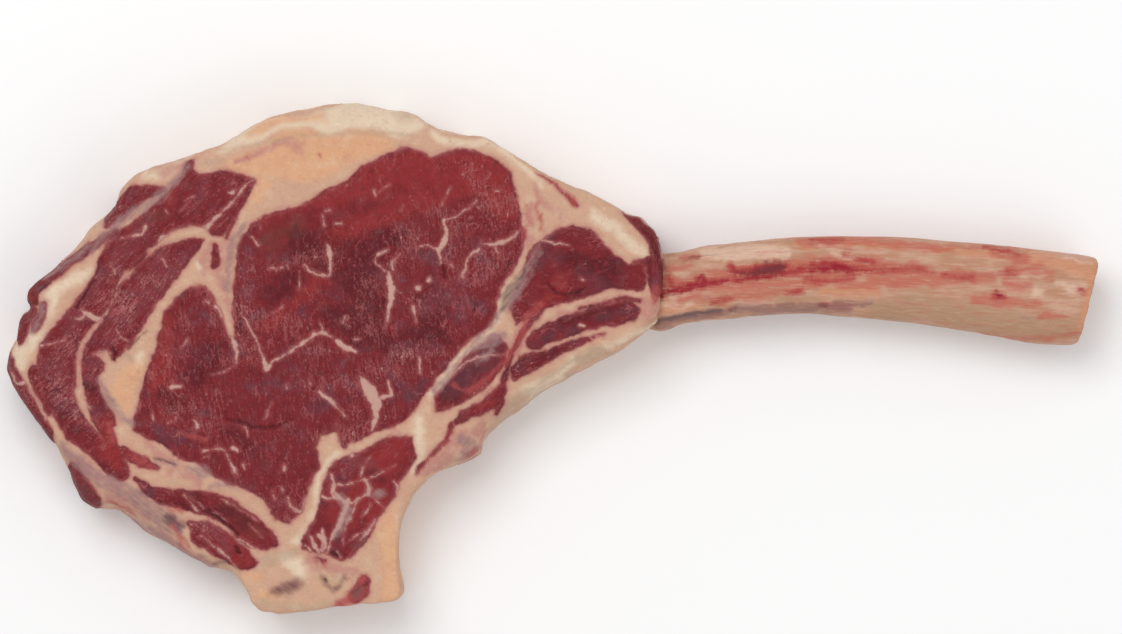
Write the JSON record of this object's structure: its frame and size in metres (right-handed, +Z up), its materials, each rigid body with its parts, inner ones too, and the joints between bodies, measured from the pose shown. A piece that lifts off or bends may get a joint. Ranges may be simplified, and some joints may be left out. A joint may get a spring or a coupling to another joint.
{
  "type": "raw tomahawk steak",
  "caption": "Thick raw beef rib steak with marbled muscles in a web of fat and a long, scraped rib bone, lying flat on its cut face.",
  "frame": {"origin": "under the middle of the whole piece, on the flat underside that the steak rests on", "axes": "+X runs along the rib bone to its sawn end, +Y points to the outer fat cap, +Z is up out of the cut face"},
  "size_m": [0.4174, 0.1964, 0.0407],
  "materials": {
    "lean": "moist dark red raw beef with fine grain and cream marbling",
    "fat": "firm cream to peach beef fat, faintly veined, soft sheen",
    "bone": "scraped pinkish rib bone with thin blood-stained membrane"
  },
  "bodies": {
    "root": {"rib_eye": "lean", "cap_muscle_outer": "lean", "cap_muscle_inner": "lean", "lower_strip_upper": "lean", "lower_strip_lower": "lean", "chine_muscle": "lean", "rib_muscle_upper": "lean", "rib_muscle_middle": "lean", "rib_muscle_lower": "lean", "seam_muscle_upper": "lean", "seam_muscle_lower": "lean", "root_flap": "lean", "fat_web": "fat", "rib_bone": "bone"}
  },
  "joints": []
}
